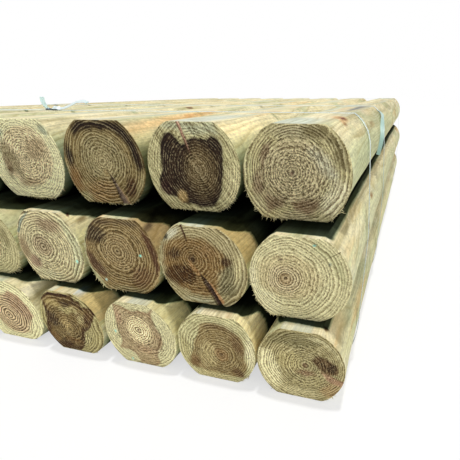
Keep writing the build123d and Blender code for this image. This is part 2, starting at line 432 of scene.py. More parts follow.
def outline(log, y, flat_shares, arc_shares):
    """Section of a sleeper at y, clockwise from its upper left corner: points and way round."""
    own = math.exp(-(y - log.front) / END_REACH)
    half = log.half_width(y)
    wander = [WANDER * (1 + float(noise(y / 0.22, k * 5.3, log.seed))) for k in range(6)]
    top_half, bottom_half = half - TOP_WANE, half - BOTTOM_WANE
    ends = np.array([*log.look["top"], *log.look["bottom"]]) / 1000
    plain = np.array([wander[0] - top_half, top_half - wander[1],
                      wander[2] - bottom_half, bottom_half - wander[3]])
    corners = log.axis + plain * (1 - own) + ends * own
    belly = (log.base + log.top) / 2 - BELLY_DROP
    left = np.array([log.axis - half + wander[4] * (1 - own), belly])
    right = np.array([log.axis + half - wander[5] * (1 - own), belly])
    tl, tr, bl, br = np.column_stack([corners, [log.top, log.top, log.base, log.base]])
    points = np.concatenate([
        tl + (tr - tl) * flat_shares[:, None],
        arc(tr, right, br, arc_shares),
        br + (bl - br) * flat_shares[:, None],
        arc(bl, left, tl, arc_shares),
    ])
    shares = (flat_shares, arc_shares) * 2
    way = np.concatenate([a + (b - a) * s for a, b, s in zip(AROUND, AROUND[1:], shares)])
    # the round sides are a little uneven, and only ever inside the solid's own section
    swell = np.concatenate([np.zeros(len(flat_shares)), np.sin(np.pi * arc_shares)] * 2)
    dent = DENT * swell * (1 + noise(way / 0.05, y / 0.20, log.seed + 3, 2)) * (1 - own)
    inward = np.array([log.axis, (log.base + log.top) / 2]) - points
    return points + inward / np.linalg.norm(inward, axis=1)[:, None] * dent[:, None], way


class Sheet:
    """Faces of one sleeper, gathered strip by strip with the values that its materials read."""

    def __init__(self):
        self.points, self.faces, self.slots = [], [], []
        self.values = {"tone": [], "polar": [], "face": [], "feel": [], "lay": []}
        self.count = 0

    def add(self, points, faces, slot, **values):
        points = points.reshape(-1, 3)
        self.points.append(points)
        self.faces += [[corner + self.count for corner in face] for face in faces]
        self.slots += [slot] * len(faces)
        for name, gathered in self.values.items():
            given = np.zeros((len(points), 3))
            if name in values:
                given[:] = values[name].reshape(-1, 3)
            gathered.append(given)
        self.count += len(points)

    def build(self, name, materials):
        """Make the mesh object."""
        mesh = bpy.data.meshes.new(name)
        mesh.from_pydata(np.concatenate(self.points).tolist(), [], self.faces)
        for material in materials:
            mesh.materials.append(material)
        mesh.polygons.foreach_set("material_index", self.slots)
        mesh.polygons.foreach_set("use_smooth", [True] * len(self.faces))
        for key, gathered in self.values.items():
            data = np.concatenate(gathered)
            if key == "tone":
                layer = mesh.attributes.new("tone", "FLOAT_COLOR", "POINT")
                data = np.column_stack([data, np.ones(len(data))])
                layer.data.foreach_set("color", data.ravel())
            else:
                layer = mesh.attributes.new(key, "FLOAT_VECTOR", "POINT")
                layer.data.foreach_set("vector", data.ravel())
        mesh.update()
        piece = bpy.data.objects.new(name, mesh)
        bpy.context.scene.collection.objects.link(piece)
        return piece


def grid_faces(rows, columns, closed, flip):
    """Quads over a grid of points, joined round if closed."""
    last = columns if closed else columns - 1
    r, c = np.meshgrid(np.arange(rows - 1), np.arange(last), indexing="ij")
    a = r * columns + c
    b = r * columns + (c + 1) % columns
    quads = np.stack([a, b, b + columns, a + columns], axis=-1).reshape(-1, 4)
    return (quads[:, ::-1] if flip else quads).tolist()


# Painting
def edge_distance(points, x, z):
    """Distance inside (negative) or outside a given outline."""
    nearest = np.full(x.shape, 1e9)
    inside = np.zeros(x.shape, bool)
    for (ax, az), (bx, bz) in zip(points, np.roll(points, -1, axis=0)):
        dx, dz = bx - ax, bz - az
        t = np.clip(((x - ax) * dx + (z - az) * dz) / (dx * dx + dz * dz), 0, 1)
        nearest = np.minimum(nearest, np.hypot(x - ax - t * dx, z - az - t * dz))
        crosses = (az > z) != (bz > z)
        inside ^= crosses & (x < ax + dx * (z - az) / (dz if dz else 1e-9))
    return np.where(inside, -nearest, nearest)


def oval_distance(oval, x, z):
    """The same for a stained oval, in line with its shorter half size."""
    middle_x, middle_z, wide, high, turn = (*oval, 0)[:5]
    cos, sin = math.cos(math.radians(turn)), math.sin(math.radians(turn))
    dx, dz = x - middle_x, z - middle_z
    share = np.hypot((dx * cos + dz * sin) / wide, (dz * cos - dx * sin) / high)
    return (share - 1) * min(wide, high)


def paint_end(look, x, z, seed):
    """Colour and ring strength over a sawn end, for points in millimetres."""
    colour = np.tile(paint(look["base"]), (*x.shape, 1))
    rings = np.full(x.shape, look["rings"], float)
    for k, stain in enumerate(look["stains"]):
        soft, own_seed = stain["soft"], seed + 31 * k
        bend = min(2.2 + 0.35 * soft, 5)
        u = x + bend * noise(x / 14, z / 14, own_seed, 4)
        v = z + bend * noise(x / 14, z / 14, own_seed + 7, 4)
        if "oval" in stain:
            distance = oval_distance(stain["oval"], u, v)
        else:
            distance = edge_distance(stain["points"], u, v)
        share = 1 - smooth(distance, -soft, soft * 0.6)
        inner = paint(stain["colour"])
        if stain["edge"]:
            width = stain["band"] * (1 + 0.6 * noise(x / 12, z / 12, own_seed + 15, 2))
            rim = 1 - smooth(-distance, width * 0.5, width * 1.6)
            inner = inner + (paint(stain["edge"]) - inner) * rim[..., None]
        colour += (inner - colour) * share[..., None]
        if stain["rings"] is not None:
            rings += (stain["rings"] - rings) * share
    coarse, fine = noise(x / 22, z / 22, seed + 3, 3), noise(x / 4.5, z / 4.5, seed + 4, 2)
    return colour * (1 + 0.07 * coarse + 0.05 * fine)[..., None], rings


def ring_place(log, look, x, z):
    """Rings counted out from the pith: round there, in line with the round sides further out."""
    px, pz = look["pith"]
    half = log.width * 500
    middle = (log.top - log.base) * 500
    high = middle / math.sqrt(1 - ((half - 1000 * TOP_WANE) / half) ** 2)
    dx, dz = x - px, z - pz
    r = np.hypot(dx, dz) + 1e-6
    cos, sin = dx / r, dz / r
    a = (cos / half) ** 2 + (sin / high) ** 2
    b = 2 * (px * cos / half ** 2 + (pz - middle) * sin / high ** 2)
    c = (px / half) ** 2 + ((pz - middle) / high) ** 2 - 1
    reach = (-b + np.sqrt(b * b - 4 * a * c)) / (2 * a)
    share = np.clip(r / reach, 0, 1.2) ** 0.5
    rings = r * (1 + 0.55 * share * (half * 0.96 / reach - 1)) / look["spacing"]
    return np.stack([rings, cos, sin], axis=-1)


FINE = (np.linspace(0, 1, 61)[:-1], np.linspace(0, 1, 121)[:-1])


def rim_finder(log, y, centre):
    """Function that gives the rim's x, z and way round for directions seen from a centre."""
    points, way = outline(log, y, *FINE)
    angles = np.arctan2(points[:, 1] - centre[1], points[:, 0] - centre[0])
    order = np.argsort(angles)
    turns = np.concatenate([angles[order] + turn for turn in (-2 * math.pi, 0, 2 * math.pi)])
    columns = [np.tile(v[order], 3) for v in (points[:, 0], points[:, 1], way)]

    def rim(direction):
        turn = (direction + math.pi) % (2 * math.pi) - math.pi
        return [np.interp(turn, turns, v) for v in columns]

    return rim


CHAMFER = 0.0012
COLLAR = (CHAMFER, 0.0035, 0.009, 0.0135, 0.0155, 0.0175, 0.020, 0.024, 0.030)
COLLAR_STEP = 0.0008
RELIEF = 0.00035


def open_cracks(log, look, forward, reach, out, plain):
    """Lay an end's points out about its cracks: directions, depths, wall colours, their share."""
    shape = (len(out), len(plain))
    sign = 1 if forward else -1
    step = plain[1] - plain[0]
    span = len(plain) // 9
    angles = np.tile(plain, (len(out), 1))
    depth, wall, walled = np.zeros(shape), np.zeros((*shape, 3)), np.zeros(shape)
    for number, one in enumerate(look["cracks"]):
        dx, dz = sign * (one["end"][0] - one["start"][0]), one["end"][1] - one["start"][1]
        heading = math.atan2(dz, dx)
        core = int(round((heading + math.pi) / step)) % len(plain)
        begin = one["begin"]
        r = out * reach[core] * 1000
        grown = np.clip((r - begin) / (math.hypot(dx, dz) - begin), 0, 1)
        opened = np.minimum(grown / one["opening"], 1)
        ragged = 1 + 0.22 * noise(r / 5, number * 3.1, log.seed + 9, 2)
        half = np.maximum(one["mouth"] / 2 * opened * ragged, 0.15)
        wave = noise(r / 16, 4.4 + number, log.seed + 8, 2)
        bent = heading + 0.9 * grown * wave / np.maximum(r, 4)
        deep = one["depth"] / 1000 * smooth(r, begin, begin + 14)
        colours = one["walls"][::sign]
        for k in range(-span, span + 1):
            c = (core + k) % len(plain)
            if abs(k) < 2:
                angles[:, c] = bent + k * 0.78 * half / r
                depth[:, c] = deep * (0.8 if k else 1.0)
                wall[:, c] = paint(colours[k + 1])
                walled[:, c] = smooth(r, begin - 1, begin + 5)
            else:
                near = bent + math.copysign(1, k) * half / r
                far = plain[core] + k * step
                angles[:, c] = near + (far - near) * (abs(k) - 2) / (span - 2)
    return angles, depth, wall, walled


def add_end(sheet, log, look, forward, columns, rings):
    """One sawn end: a face with its cracks, and the first centimetres of the side behind it."""
    sign = 1 if forward else -1
    y0 = log.front if forward else log.back
    start = look["cracks"][0]["start"] if look["cracks"] else look["pith"]
    centre = np.array([log.axis + sign * start[0] / 1000, log.base + start[1] / 1000])
    rim = rim_finder(log, y0, centre)
    plain = np.arange(columns) * (2 * math.pi / columns) - math.pi
    out = np.concatenate([np.linspace(0.012, 0.985, rings - 1) ** 0.9, [1.0]])
    rim_x, rim_z, _ = rim(plain)
    reach = np.hypot(rim_x - centre[0], rim_z - centre[1])
    angles, depth, wall, walled = open_cracks(log, look, forward, reach, out, plain)
    rx, rz, _ = rim(angles)
    x = centre[0] + (rx - centre[0]) * out[:, None]
    z = centre[1] + (rz - centre[1]) * out[:, None]
    mm_x, mm_z = sign * (x - log.axis) * 1000, (z - log.base) * 1000
    tone, ring_share = paint_end(look, mm_x, mm_z, log.seed)
    tone += (wall - tone) * walled[..., None]
    inset = RELIEF * (1 + noise(mm_x / 9, mm_z / 9, log.seed + 5, 3)) + depth
    inset[-1] += CHAMFER
    turn = math.radians(look["saw_turn"])
    across = (mm_x * math.cos(turn) + mm_z * math.sin(turn)) / 1000
    along = (mm_z * math.cos(turn) - mm_x * math.sin(turn)) / 1000
    seeds = np.full(x.shape, log.seed * 0.37 + (0 if forward else 5.5))
    inside = 1.1 - 0.75 * smooth(out, 0.55, 0.85)[:, None]
    specks = look["specks"] * inside * (1 + 0.5 * noise(mm_x / 18, mm_z / 18, log.seed + 12, 2))
    ring_share = ring_share * (1 - 0.8 * walled)
    feel = np.stack([ring_share, specks, np.full(x.shape, look["saw"])], axis=-1)

    def with_hub(values):
        """The first ring's mean, for the point in the middle, and then all values."""
        return np.concatenate([values[0].mean(axis=0)[None], values.reshape(-1, 3)])

    polar = with_hub(ring_place(log, look, mm_x, mm_z))
    polar[0] = ring_place(log, look, np.array([start[0] + 0.01]), np.array([float(start[1])]))[0]
    hub_faces = [[0, k + 1, (k + 1) % columns + 1][::sign] for k in range(columns)]
    quads = grid_faces(rings, columns, True, not forward)
    faces = hub_faces + [[corner + 1 for corner in face] for face in quads]
    sheet.add(with_hub(np.stack([x, y0 + sign * inset, z], axis=-1)), faces, 0,
              tone=with_hub(tone), polar=polar, feel=with_hub(feel),
              face=with_hub(np.stack([across, along, seeds], axis=-1)))

    # the side just behind the end, with the cracks' mouths
    collar, ways = np.zeros((len(COLLAR), columns, 3)), np.zeros((len(COLLAR), columns))
    deep = inset[-1]
    for j, station in enumerate(COLLAR):
        rx, rz, ways[j] = rim_finder(log, y0 + sign * station, centre)(angles[-1])
        if j:
            deep = np.maximum(station, deep + COLLAR_STEP)
        collar[j] = np.stack([rx, y0 + sign * deep, rz], axis=-1)
    add_side(sheet, log, collar, ways, True, not forward)


def mark(colour, way, along, wide, long, soft=0.5, slant=0.0):
    """Mark on a long face: colour as seen, way round the section from the upper left corner,
    place along the log and half sizes both ways, in millimetres, softness and slant."""
    return colour, way / 1000, along / 1000, wide / 1000, long / 1000, soft, slant


MARKS = {
    "top_1": (
        mark("ced4c0", 30, 60, 50, 90),
        mark("cea878", 94, 170, 14, 50, 0.6, -0.3),
        mark("68322a", 102, 165, 4.5, 14),
        mark("967046", 112, 150, 3, 40, 0.5, -0.2),
        mark("80623e", 172, 345, 30, 6),
        mark("8c7048", 160, 385, 22, 5),
        mark("96784a", 150, 470, 10, 50),
        mark("848a8e", 70, 620, 12, 160),
        mark("b8bc92", 205, 250, 55, 300, 0.6),
        mark("bec096", 200, 800, 50, 400, 0.6),
    ),
    "top_2": (
        mark("d0d4c2", 50, 70, 45, 120),
        mark("f0e2b2", 160, 80, 50, 200),
    ),
    "top_3": (
        mark("d4b886", 118, 160, 13, 200, 0.6, -0.05),
        mark("d4a66c", 113, 300, 6, 100, 0.6, -0.03),
        mark("eedeac", 170, 100, 30, 200),
        mark("968e64", 200, 50, 40, 120, 0.6),
    ),
    "middle_2": (
        mark("ae9a66", 130, 20, 50, 70, 0.6),
        mark("baa670", 150, 35, 12, 12),
    ),
    "middle_3": (
        mark("a48e62", 130, 30, 55, 100),
        mark("68563c", 118, 40, 6, 50, 0.5, -0.3),
    ),
    "middle_4": (
        mark("ded4a4", 120, 20, 16, 12),
        mark("62342a", 114, 20, 6, 5, 0.4),
        mark("968458", 134, 36, 5, 18),
    ),
    "bottom_2": (
        mark("ded09c", 140, 30, 40, 80, 0.6),
    ),
    "bottom_3": (
        mark("cec692", 140, 30, 40, 80, 0.6),
    ),
    "bottom_4": (
        # painted highlight: a blue-white patch where the right shoulder catches the light
        mark("c4ccce", 106, 26, 10, 20),
        mark("c4b078", 140, 30, 30, 60),
    ),
    "middle_1": (
        mark("cac9a0", 200, 450, 55, 420, 0.6),
        mark("bebe96", 200, 1200, 55, 420, 0.6),
        mark("947042", 190, 300, 8, 20),
        mark("8c683e", 150, 460, 7, 20),
    ),
    "bottom_1": (
        mark("745230", 108, 28, 6, 6, 0.4),
    ),
}


def is_outer(log, x):
    """Places on the pack's own sides, which face no other sleeper."""
    right = (log.column == 1) & (x > log.axis)
    return right | ((log.column == COLUMNS) & (x < log.axis))


def painted_gap_shade(log, x, y, z):
    """Painted shade in the gaps, 0 to 1 unshaded: darker low on the sides from just behind the
    front end, on the top row also darker low down, none on the pack's own sides; y from the front,
    z from the lower face.
    """
    unshaded = 1 - (1 - smooth(z, 0.020, 0.085)) * smooth(y, 0.002, 0.035) * 0.98
    if log.row == "top":
        # painted shade: the top row's sides darker low down, between neighbouring sleepers
        unshaded = unshaded * (1 - 0.55 * (1 - smooth(z, 0.09, 0.15)))
    return np.where(is_outer(log, x), 1.0, unshaded)


# How far behind a front end the painted shadow in the gap begins, which the top row's faces don't
# have
PAINTED_SHADOW_LINE = {"bottom": 0.0225, "middle": 0.0136}
OPEN, DEEP = -5.0, 12.0  # places far before and far behind the line
FACE_EDGE = 0.1595


def painted_shadow_place(log, x, y, z):
    """Where a place lies about the edge of the painted shadow in the gap: 0 to 1 across the edge,
    which the material paints dark. On the pack's own sides the painted shadow is softer and reaches
    only the top of the shoulder."""
    if log.row not in PAINTED_SHADOW_LINE:
        return np.full(x.shape, OPEN)
    shoulder = 1 - smooth(z, 0.130, 0.157)
    line = PAINTED_SHADOW_LINE[log.row] - 0.03 * (x - log.axis) * (1 - shoulder) + 0.055 * shoulder
    line = line + 0.001 * noise(x / 0.02, z / 0.02, log.seed + 17, 2) * (1 - shoulder)
    place = np.clip((y - line) / (0.004 + 0.008 * shoulder), OPEN, DEEP)
    faded = np.clip(place, -1, 1.6)
    faded = faded - (faded + 1) * (1 - smooth(z, 0.146, 0.160))
    return np.where(is_outer(log, x) & (z < FACE_EDGE), faded, place)


# Broad colours that wash over the long faces: colour as seen, size of the washes round and
# along in metres, where the noise starts and fills out, strength
WASHES = (
    ("b0b88e", 0.045, 0.20, 0.0, 0.5, 0.62),
    ("d6b47a", 0.028, 0.30, 0.22, 0.52, 0.62),
    ("f0e8c8", 0.036, 0.16, 0.10, 0.45, 0.55),
    ("a09464", 0.018, 0.45, 0.34, 0.52, 0.50),
)
WEATHERED = "ccd0ba"
SHADED_WAY = 0.115
# tint of the painted shade in the gaps
GAP_SHADE_TINT = np.array([0.34, 0.04, 0.16])


def paint_side(log, points, way):
    """Colour and feel over the long faces."""
    x, y, z = points[..., 0], points[..., 1] - log.front, points[..., 2]
    on_top = way <= AROUND[1] + 1e-6
    share = (on_top | ((way >= AROUND[2] - 1e-6) & (way <= AROUND[3] + 1e-6))).astype(float)
    shift = 8 * float(noise(log.seed * 0.7, 2.2, 5, 1))
    up = smooth(z, log.base + 0.09, log.top - 0.01)
    flat = paint(np.array([232, 222, 182]) + shift, FLAT_LIGHT)
    low = paint(np.array([202, 200, 156]) + shift, ROUND_LIGHT)
    high = paint(np.array([230, 219, 176]) + shift, FLAT_LIGHT)
    colour = low + (high - low) * up[..., None]
    colour = colour + (flat - colour) * share[..., None]

    def wash(seen, where, light=WASH_LIGHT):
        return colour + (paint(seen, light) - colour) * where[..., None]

    for k, (seen, wide, long, start, full, strength) in enumerate(WASHES):
        spread = noise(way / wide, y / long, log.seed + 21 + k, 3)
        colour = wash(seen, strength * smooth(spread, start, full))
    grey = smooth(noise(way / 0.05, y / 0.26, log.seed + 25, 2), 0.05, 0.4)
    colour = wash(WEATHERED, 0.8 * grey * share, FLAT_LIGHT)
    for seen, at_way, at_y, wide, long, soft, slant in MARKS.get(f"{log.row}_{log.column}", ()):
        u = way - at_way + 0.004 * noise(way / 0.012, y / 0.03, log.seed + 26, 3)
        v = y - at_y + 0.015 * noise(way / 0.012, y / 0.03, log.seed + 27, 3)
        distance = np.hypot((u - slant * v) / wide, v / long)
        light = WASH_LIGHT if at_way < SHADED_WAY else SHADED_MARK_LIGHT
        colour = wash(seen, 1 - smooth(distance, 1 - soft, 1 + soft), light)
    level = 1 + 0.06 * noise(way / 0.012, y / 0.08, log.seed + 28, 3)
    level = level * (1 - 0.12 * is_outer(log, x) * smooth(y, 0.10, 0.45))
    # painted shade in the gaps darkens the colour with a blue-green tint; the painted shadow's edge
    # is passed on to the material
    unshaded = painted_gap_shade(log, x, y, z - log.base)
    tint = unshaded[..., None] * (1 - (1 - unshaded[..., None]) * GAP_SHADE_TINT)
    feel = np.stack([share, unshaded, painted_shadow_place(log, x, y, z - log.base)], axis=-1)
    return colour * level[..., None] * tint, feel


def add_side(sheet, log, rows, ways, closed, flip):
    """A strip of the long faces."""
    tone, feel = paint_side(log, rows, ways)
    sheet.add(rows, grid_faces(*ways.shape, closed, flip), 1,
              lay=log.lay(ways, rows[..., 1]), tone=tone, feel=feel)


BODY_FLAT = np.array([0.0, 0.02, 0.1, 0.2, 0.32, 0.44, 0.56, 0.68, 0.8, 0.9, 0.98])
BODY_ARC = np.concatenate([[0.0, 0.008], np.linspace(0.04, 0.96, 22), [0.992]])


def add_body(sheet, log, stations):
    """The long faces between the two ends, with a seam at the upper left corner."""
    rows, ways = [], []
    for y in stations:
        points, way = outline(log, y, BODY_FLAT, BODY_ARC)
        points = np.concatenate([points, points[:1]])
        rows.append(np.column_stack([points[:, 0], np.full(len(points), y), points[:, 1]]))
        ways.append([*way, AROUND[4]])
    add_side(sheet, log, np.array(rows), np.array(ways), False, True)


FIBRE_FACES = [[0, 1, 4], [0, 4, 3], [1, 2, 5], [1, 5, 4], [2, 0, 3], [2, 3, 5],
               [3, 4, 6], [4, 5, 6], [5, 3, 6], [0, 2, 1]]
FIBRE_COLOUR = "cec69c"
FIBRE_ROOT = 0.0014
FLOOR_CLEARANCE = 0.0015


def add_fibres(sheet, log, look, count):
    """Torn fibres that the saw left hanging at the rim of the front end."""
    pick = np.random.default_rng(log.seed + 77)
    centre = np.array([log.axis, (log.base + log.top) / 2])
    low, high = look["torn"]
    tufts = pick.uniform(low, high, 9)
    angles = np.radians(np.where(
        pick.random(count) < 0.45, pick.choice(tufts, count) + pick.normal(0, 2.5, count),
        pick.uniform(low, high, count)))
    for rx, rz, way in zip(*rim_finder(log, log.front, centre)(angles)):
        edge = np.array([rx, rz])
        out = (edge - centre) / np.linalg.norm(edge - centre)
        side = np.array([-out[1], out[0]])
        heading = out + side * pick.normal(0, 0.5) + np.array([0, -0.3])
        heading = heading / np.linalg.norm(heading)
        length = look.get("fringe", 0.75) * (0.0018 + 0.0085 * pick.random() ** 2.0)
        half = 0.0004 + 0.0007 * pick.random()
        root = edge - out * FIBRE_ROOT
        tip = root + heading * (length + FIBRE_ROOT)
        if min(root[1], tip[1]) < FLOOR_CLEARANCE:
            continue
        y = log.front + 0.0004 + 0.002 * pick.random()
        back = y + half + length * pick.uniform(0, 0.6)
        middle, middle_y = (root + tip) / 2 + side * pick.normal(0, 0.12) * length, (y + back) / 2
        points = np.array([
            [*(root + side * half), y], [*(root - side * half), y], [*root, y + 2 * half],
            [*(middle + side * half * 0.8), middle_y], [*(middle - side * half * 0.8), middle_y],
            [*middle, middle_y + 1.4 * half], [*tip, back],
        ])[:, [0, 2, 1]]
        tone = np.tile(paint(FIBRE_COLOUR) * pick.uniform(0.65, 1.1), (7, 1))
        sheet.add(points, FIBRE_FACES, 1, tone=tone, feel=np.tile([0.0, 1.0, OPEN], (7, 1)),
                  lay=log.lay(np.full(7, way), log.front))


# Materials
class Value:
    """What a node gives out, to reckon with."""

    def __init__(self, tree, socket):
        self.tree, self.socket = tree, socket

    def __add__(self, other):
        return self.tree.math("ADD", self, other)

    def __sub__(self, other):
        return self.tree.math("SUBTRACT", self, other)

    def __rsub__(self, other):
        return self.tree.math("SUBTRACT", other, self)

    def __mul__(self, other):
        return self.tree.math("MULTIPLY", self, other)


class Tree:
    """Short way to lay out the nodes of a material or a world."""

    def __init__(self, owner, shader="Principled BSDF"):
        owner.use_nodes = True
        self.owner, self.nodes = owner, owner.node_tree.nodes
        self.shader = self.nodes[shader]

    def put(self, socket, value):
        if isinstance(value, Value):
            self.owner.node_tree.links.new(value.socket, socket)
        else:
            socket.default_value = (*value, 1) if socket.type == "RGBA" else value

    def add(self, kind, inputs, *outputs, **settings):
        """Put in a node with its settings and inputs, and give what comes out of it."""
        node = self.nodes.new("ShaderNode" + kind)
        for name, value in settings.items():
            setattr(node, name, value)
        for name, value in inputs.items():
            self.put(node.inputs[name], value)
        given = [Value(self, node.outputs[name]) for name in outputs or (0,)]
        return given if len(given) > 1 else given[0]

    def attribute(self, name, output="Vector"):
        return self.add("Attribute", {}, output, attribute_name=name)

    def object_place(self):
        return self.add("TexCoord", {}, "Object")

    def parts(self, vector):
        return self.add("SeparateXYZ", {0: vector}, 0, 1, 2)

    def vector(self, x, y, z):
        return self.add("CombineXYZ", {0: x, 1: y, 2: z})

    def math(self, operation, *values):
        return self.add("Math", dict(enumerate(values)), operation=operation)

    def noise(self, place, scale, detail=2.0, roughness=0.5):
        inputs = {"Vector": place, "Scale": scale, "Detail": detail, "Roughness": roughness}
        return self.add("TexNoise", inputs, "Fac")

    def curve(self, value, *stops):
        level = self.add("ValToRGB", {0: value})
        ramp = level.socket.node.color_ramp
        while len(ramp.elements) < len(stops):
            ramp.elements.new(0.5)
        for element, (place, height) in zip(ramp.elements, stops):
            element.position = place
            element.color = (height, height, height, 1)
        return level

    def mix(self, share, a, b, blend="MIX"):
        return self.add("Mix", {0: share, 6: a, 7: b}, 2, data_type="RGBA", blend_type=blend)

    def tint(self, share, colour, by, tone=None):
        """A colour, and by the given share a tone, or else itself, times another colour."""
        return self.mix(share, colour, self.mix(1.0, tone or colour, by, "MULTIPLY"))

    def scale(self, colour, factor):
        return self.add("VectorMath", {0: colour, "Scale": factor}, operation="SCALE")

    def bump(self, height, distance, strength=1.0):
        inputs = {"Height": height, "Distance": distance, "Strength": strength}
        self.put(self.shader.inputs["Normal"], self.add("Bump", inputs))

    def finish(self, colour, roughness, specular=0.2):
        self.put(self.shader.inputs["Base Color"], colour)
        self.put(self.shader.inputs["Roughness"], roughness)
        self.put(self.shader.inputs["Specular IOR Level"], specular)
        return self.owner


def end_grain():
    """Sawn end: growth rings about the pith, torn specks and saw marks over the painted tone."""
    t = Tree(bpy.data.materials.new("end_grain"))
    tone = t.attribute("tone", "Color")
    count, cos, sin = t.parts(t.attribute("polar"))
    across, along, seed = t.parts(t.attribute("face"))
    rings, specks, saw = t.parts(t.attribute("feel"))
    place = t.vector(across, along, seed)
    green = t.parts(tone)[1]
    heart = t.curve(green, (0.14, 1.0), (0.46, 0.0))

    # growth rings: soft dark bands in sapwood, thin pale lines in dark heartwood
    broad, close = t.noise(place, 24, 1) - 0.5, t.noise(place, 90, 1) - 0.5
    coarse = t.noise(place, 250, 2, 0.65) - 0.5
    pace = t.noise(t.vector(count * 0.23, seed, 0.0), 1, 2) * 3.0
    phase = count + (broad * 1.8 + close * 0.45 + coarse * 0.6) + pace
    within = t.math("FRACT", phase)
    band = t.curve(within, (0.0, 0.45), (0.14, 1.0), (0.30, 0.95), (0.48, 0.55), (0.66, 0.30),
                   (0.84, 0.05), (0.92, 0.0), (1.0, 0.45))
    thin = t.curve(within, (0.0, 0.15), (0.12, 0.75), (0.22, 1.0), (0.36, 0.55), (0.52, 0.18),
                   (0.80, 0.0), (1.0, 0.15))
    worth = t.noise(t.vector(t.math("FLOOR", phase) * 7.31, seed, 3.1), 1, 0) + 0.35
    broken = t.curve(t.noise(t.vector(count * 0.7, cos * 4.5, sin * 4.5), 1, 2),
                     (0.30, 0.42), (0.60, 1.0))
    wave = (band - 0.52) * 1.15
    wave = wave + heart * (thin * 1.3 - 0.46 - wave)
    swing = wave * (worth * broken * (rings * 1.5))

    # torn specks, painted glints that are small painted highlights, and the marks of the saw
    dash = t.noise(t.vector(count * 2.5, cos * 6, sin * 6), 1, 3, 0.65)
    grit = t.noise(place, 470, 2, 0.6) - 0.5 + coarse
    painted_glint = t.curve(t.noise(place, 300, 1), (0.61, 0.0), (0.71, 1.0))
    fleck = (dash - 0.5) * 5.2 * specks + grit * 3.2 * (specks * 0.40 + 0.36) + painted_glint * specks
    kerf = t.noise(t.vector(across * 300, along * 12, seed), 1, 2, 0.6)
    total = swing + fleck + (kerf - 0.5) * (saw * 2.6)

    base = t.curve(green, (0.04, 0.82), (0.14, 1.0), (0.30, 1.03), (0.46, 0.98))
    level = t.math("MINIMUM", t.math("MAXIMUM", base + total, 0.24), 2.3)
    dark = t.curve(level, (0.35, 1.0), (0.95, 0.0))
    colour = t.tint(dark * 0.8, t.scale(tone, level), (1.0, 0.86, 0.66))
    light = t.curve(level - 1.0, (0.1, 0.0), (0.9, 1.0))
    pale = t.mix(heart, (0.95, 0.93, 0.74), (0.62, 0.54, 0.30))
    colour = t.mix(light * (heart * 0.26 + 0.20), colour, pale)
    t.bump(total, 0.0009)
    return t.finish(colour, 0.95 - dark * 0.12)


def long_grain():
    """Long faces: grain that flows along the log, knots, streaks, saw marks on the sawn faces, and
    the painted shadow in the gaps behind the front ends."""
    t = Tree(bpy.data.materials.new("long_grain"))
    tone = t.attribute("tone", "Color")
    around, along, seed = t.parts(t.attribute("lay"))
    # share of sawn face, painted gap shade, and place about the painted shadow's edge
    flat, unshaded, place = t.parts(t.attribute("feel"))

    def texture(wide, long, detail=1, roughness=0.5, way=around):
        """Noise with that many bumps a metre round and along the log."""
        return t.noise(t.vector(way * wide, along * long, seed), 1, detail, roughness)

    cells = {"Vector": t.vector(around * 7.5, along * 3.4, seed), "Scale": 1.0}
    distance, random = t.add("TexVoronoi", cells, "Distance", "Color")
    shown = t.math("GREATER_THAN", t.parts(random)[0], 0.42)
    knot = t.curve(distance, (0.05, 1.0), (0.10, 0.0)) * shown
    halo = t.curve(distance, (0.06, 1.0), (0.40, 0.0)) * shown

    # the grain wanders, and bends about the knots
    flow = texture(7, 1.5)
    grain = around + ((flow - 0.5) * 0.05 + halo * 0.020)
    fine = texture(400, 8, 3, 0.6, grain)
    streak = texture(110, 2.6, 2, 0.5, grain)
    blotch = texture(42, 9, 3, 0.6, grain)
    mottle = (texture(150, 70, 3, 0.7) - 0.5) * (1.15 - flat * 0.75)
    shade = (fine - 0.5) * 0.75 + 1.0 + (streak - 0.5) * 0.50 + (blotch - 0.5) * 0.50 + mottle
    line = t.curve(t.math("FRACT", (flow + grain * 6.0) * 11),
                   (0.0, 0.1), (0.25, 0.0), (0.60, 0.35), (0.85, 1.0), (1.0, 0.1))
    fade = t.curve(texture(30, 5), (0.38, 0.25), (0.60, 1.0))
    specks = t.curve(texture(260, 90, 2), (0.62, 0.0), (0.74, 1.0))
    colour = t.tint(line * fade * 0.6, t.scale(tone, shade), (0.66, 0.58, 0.40), tone)
    colour = t.tint(halo * 0.45, colour, (0.80, 0.64, 0.42), tone)
    colour = t.tint(knot * 0.85, colour, (0.30, 0.16, 0.11), tone)
    colour = t.tint(specks * 0.45, colour, (0.42, 0.36, 0.26), tone)
    marks = (texture(7, 300) - 0.5) * flat
    colour = t.scale(colour, marks * 0.35 + 1.0)
    t.bump(fine * 0.7 + streak * 0.9 + marks * 0.6 + knot * 0.8, 0.0010)

    # the painted shadow in the gap: its edge is a little ragged along the grain, it darkens the
    # colour to a blue-green black, and the specular drops with the painted shade and shadow
    place = (place + (streak - 0.5) * 1.2) * 0.1
    painted_shadow = t.curve(place, (0.0, 0.0), (0.1, 0.93), (1.0, 0.988))
    colour = t.tint(painted_shadow, t.mix(painted_shadow, colour, (0.0, 0.0, 0.0)), (0.66, 0.96, 0.84))
    return t.finish(colour, fine * 0.22 + 0.72, unshaded * (1.0 - painted_shadow) * 0.2)


